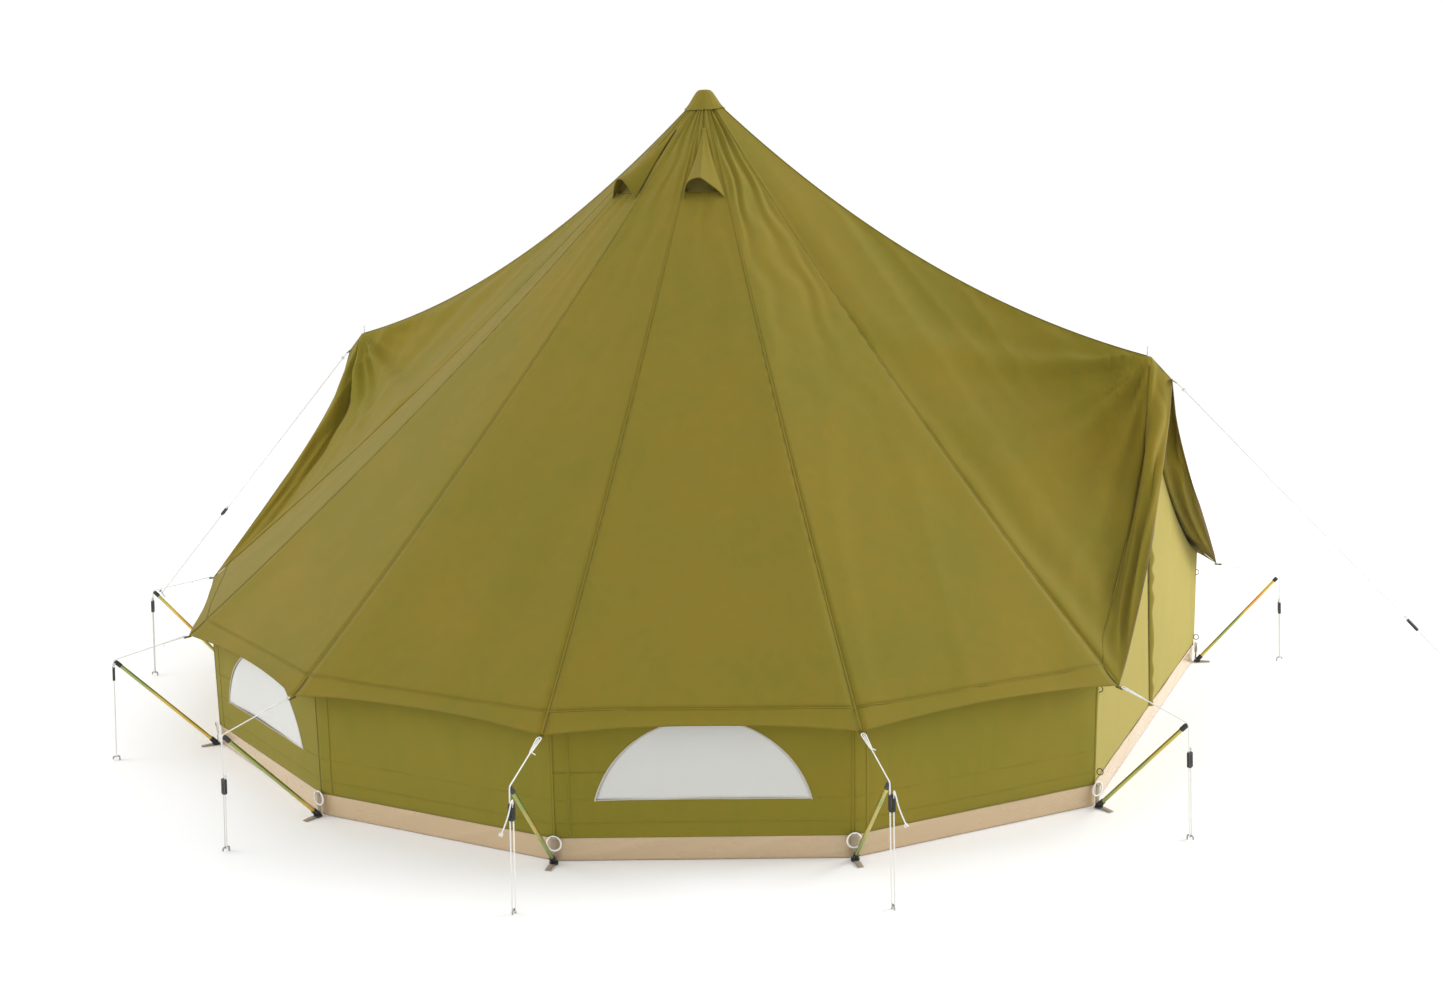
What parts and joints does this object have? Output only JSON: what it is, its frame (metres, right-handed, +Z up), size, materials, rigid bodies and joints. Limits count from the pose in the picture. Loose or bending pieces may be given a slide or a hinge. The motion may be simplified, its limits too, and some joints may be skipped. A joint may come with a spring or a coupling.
{
  "type": "bell tent",
  "caption": "Round-plan canvas bell tent with a central pole, a zipped door and A-frame at each end, low mesh-windowed walls, and eaves held out by struts and guy lines.",
  "frame": {"origin": "centre of the groundsheet's underside, on the ground", "axes": "+Z up, -Y out of the front door, +Y out of the rear door, left is -X seen from in front of the front door"},
  "size_m": [6.9573, 9.4494, 3.54],
  "materials": {
    "canvas": "woven, matt",
    "door_canvas": "woven, matt",
    "mesh": "fine net",
    "binding": "webbing",
    "groundsheet": "glossy coated sheet",
    "steel_tube": "galvanised",
    "zinc": "yellow passivated zinc",
    "black_plastic": "moulded",
    "black_rubber": "moulded",
    "ring": "moulded",
    "peg_steel": "zinc plated",
    "webbing": "webbing",
    "zip": "painted",
    "rope": "braided"
  },
  "bodies": {
    "tent": {"canopy": "canvas", "door_roofs": "canvas", "valance": "canvas", "porch_flaps": "canvas", "apex_cap": "canvas", "vent_hoods": "canvas", "vent_meshes": "mesh", "flank_walls": "canvas", "window_meshes": "mesh", "window_trims": "binding", "door_walls": "door_canvas", "groundsheet": "groundsheet", "pole_lower": "steel_tube", "pole_upper": "steel_tube", "pole_foot": "black_rubber", "pole_crown": "black_plastic", "a_frame_legs": "steel_tube", "a_frame_crowns": "steel_tube", "a_frame_feet": "black_rubber", "eave_struts": "zinc", "strut_caps": "black_plastic", "strut_feet": "black_rubber", "peg_rings": "ring", "ring_straps": "binding", "line_pegs": "peg_steel", "eave_tabs": "webbing", "door_loops": "webbing", "strut_line_right_1": "rope", "strut_line_right_2": "rope", "strut_line_right_3": "rope", "strut_line_right_4": "rope", "strut_line_right_5": "rope", "strut_line_right_6": "rope", "strut_line_left_6": "rope", "strut_line_left_5": "rope", "strut_line_left_4": "rope", "strut_line_left_3": "rope", "strut_line_left_2": "rope", "strut_line_left_1": "rope", "ridge_line_front": "rope", "ridge_line_rear": "rope"},
    "front_door_left": {"front_door_leaf_left": "door_canvas"},
    "front_door_right": {"front_door_leaf_right": "door_canvas"},
    "front_zip": {"front_zip_slider": "zip"},
    "rear_door_left": {"rear_door_leaf_left": "door_canvas"},
    "rear_door_right": {"rear_door_leaf_right": "door_canvas"},
    "rear_zip": {"rear_zip_slider": "zip"},
    "slide_right_1": {"runner_right_1": "black_plastic"},
    "slide_right_2": {"runner_right_2": "black_plastic"},
    "slide_right_3": {"runner_right_3": "black_plastic"},
    "slide_right_4": {"runner_right_4": "black_plastic"},
    "slide_right_5": {"runner_right_5": "black_plastic"},
    "slide_right_6": {"runner_right_6": "black_plastic"},
    "slide_left_6": {"runner_left_6": "black_plastic"},
    "slide_left_5": {"runner_left_5": "black_plastic"},
    "slide_left_4": {"runner_left_4": "black_plastic"},
    "slide_left_3": {"runner_left_3": "black_plastic"},
    "slide_left_2": {"runner_left_2": "black_plastic"},
    "slide_left_1": {"runner_left_1": "black_plastic"},
    "slide_ridge_front": {"runner_ridge_front": "black_plastic"},
    "slide_ridge_rear": {"runner_ridge_rear": "black_plastic"}
  },
  "joints": [
    {"name": "front_door_left_fold", "type": "hinge", "parent": "tent", "child": "front_door_left", "pos_m": [-0.60226, -2.70831, 0.108], "axis": [-0.29, -0.0327, -0.9565], "range_deg": [0, 80]},
    {"name": "front_door_right_fold", "type": "hinge", "parent": "tent", "child": "front_door_right", "pos_m": [0.60226, -2.70831, 0.108], "axis": [-0.29, 0.0327, 0.9565], "range_deg": [0, 80]},
    {"name": "front_zip_slide", "type": "slide", "parent": "front_door_left", "child": "front_zip", "axis": [0, 0.0342, 0.9994], "range_m": [0, 1.34]},
    {"name": "rear_door_left_fold", "type": "hinge", "parent": "tent", "child": "rear_door_left", "pos_m": [0.60226, 2.70831, 0.108], "axis": [0.29, 0.0327, -0.9565], "range_deg": [0, 80]},
    {"name": "rear_door_right_fold", "type": "hinge", "parent": "tent", "child": "rear_door_right", "pos_m": [-0.60226, 2.70831, 0.108], "axis": [0.29, -0.0327, 0.9565], "range_deg": [0, 80]},
    {"name": "rear_zip_slide", "type": "slide", "parent": "rear_door_left", "child": "rear_zip", "axis": [0, -0.0342, 0.9994], "range_m": [0, 1.34]},
    {"name": "runner_right_1", "type": "slide", "parent": "tent", "child": "slide_right_1", "axis": [0.0237, -0.0493, -0.9985], "range_m": [0, 0.08]},
    {"name": "runner_right_2", "type": "slide", "parent": "tent", "child": "slide_right_2", "axis": [0.0428, -0.0341, -0.9985], "range_m": [0, 0.08]},
    {"name": "runner_right_3", "type": "slide", "parent": "tent", "child": "slide_right_3", "axis": [0.0533, -0.0122, -0.9985], "range_m": [0, 0.08]},
    {"name": "runner_right_4", "type": "slide", "parent": "tent", "child": "slide_right_4", "axis": [0.0533, 0.0122, -0.9985], "range_m": [0, 0.08]},
    {"name": "runner_right_5", "type": "slide", "parent": "tent", "child": "slide_right_5", "axis": [0.0428, 0.0341, -0.9985], "range_m": [0, 0.08]},
    {"name": "runner_right_6", "type": "slide", "parent": "tent", "child": "slide_right_6", "axis": [0.0237, 0.0493, -0.9985], "range_m": [0, 0.08]},
    {"name": "runner_left_6", "type": "slide", "parent": "tent", "child": "slide_left_6", "axis": [-0.0237, 0.0493, -0.9985], "range_m": [0, 0.08]},
    {"name": "runner_left_5", "type": "slide", "parent": "tent", "child": "slide_left_5", "axis": [-0.0428, 0.0341, -0.9985], "range_m": [0, 0.08]},
    {"name": "runner_left_4", "type": "slide", "parent": "tent", "child": "slide_left_4", "axis": [-0.0533, 0.0122, -0.9985], "range_m": [0, 0.08]},
    {"name": "runner_left_3", "type": "slide", "parent": "tent", "child": "slide_left_3", "axis": [-0.0533, -0.0122, -0.9985], "range_m": [0, 0.08]},
    {"name": "runner_left_2", "type": "slide", "parent": "tent", "child": "slide_left_2", "axis": [-0.0428, -0.0341, -0.9985], "range_m": [0, 0.08]},
    {"name": "runner_left_1", "type": "slide", "parent": "tent", "child": "slide_left_1", "axis": [-0.0237, -0.0493, -0.9985], "range_m": [0, 0.08]},
    {"name": "runner_ridge_front", "type": "slide", "parent": "tent", "child": "slide_ridge_front", "axis": [0, -0.7136, -0.7006], "range_m": [0, 0.15]},
    {"name": "runner_ridge_rear", "type": "slide", "parent": "tent", "child": "slide_ridge_rear", "axis": [0, 0.7136, -0.7006], "range_m": [0, 0.15]}
  ]
}
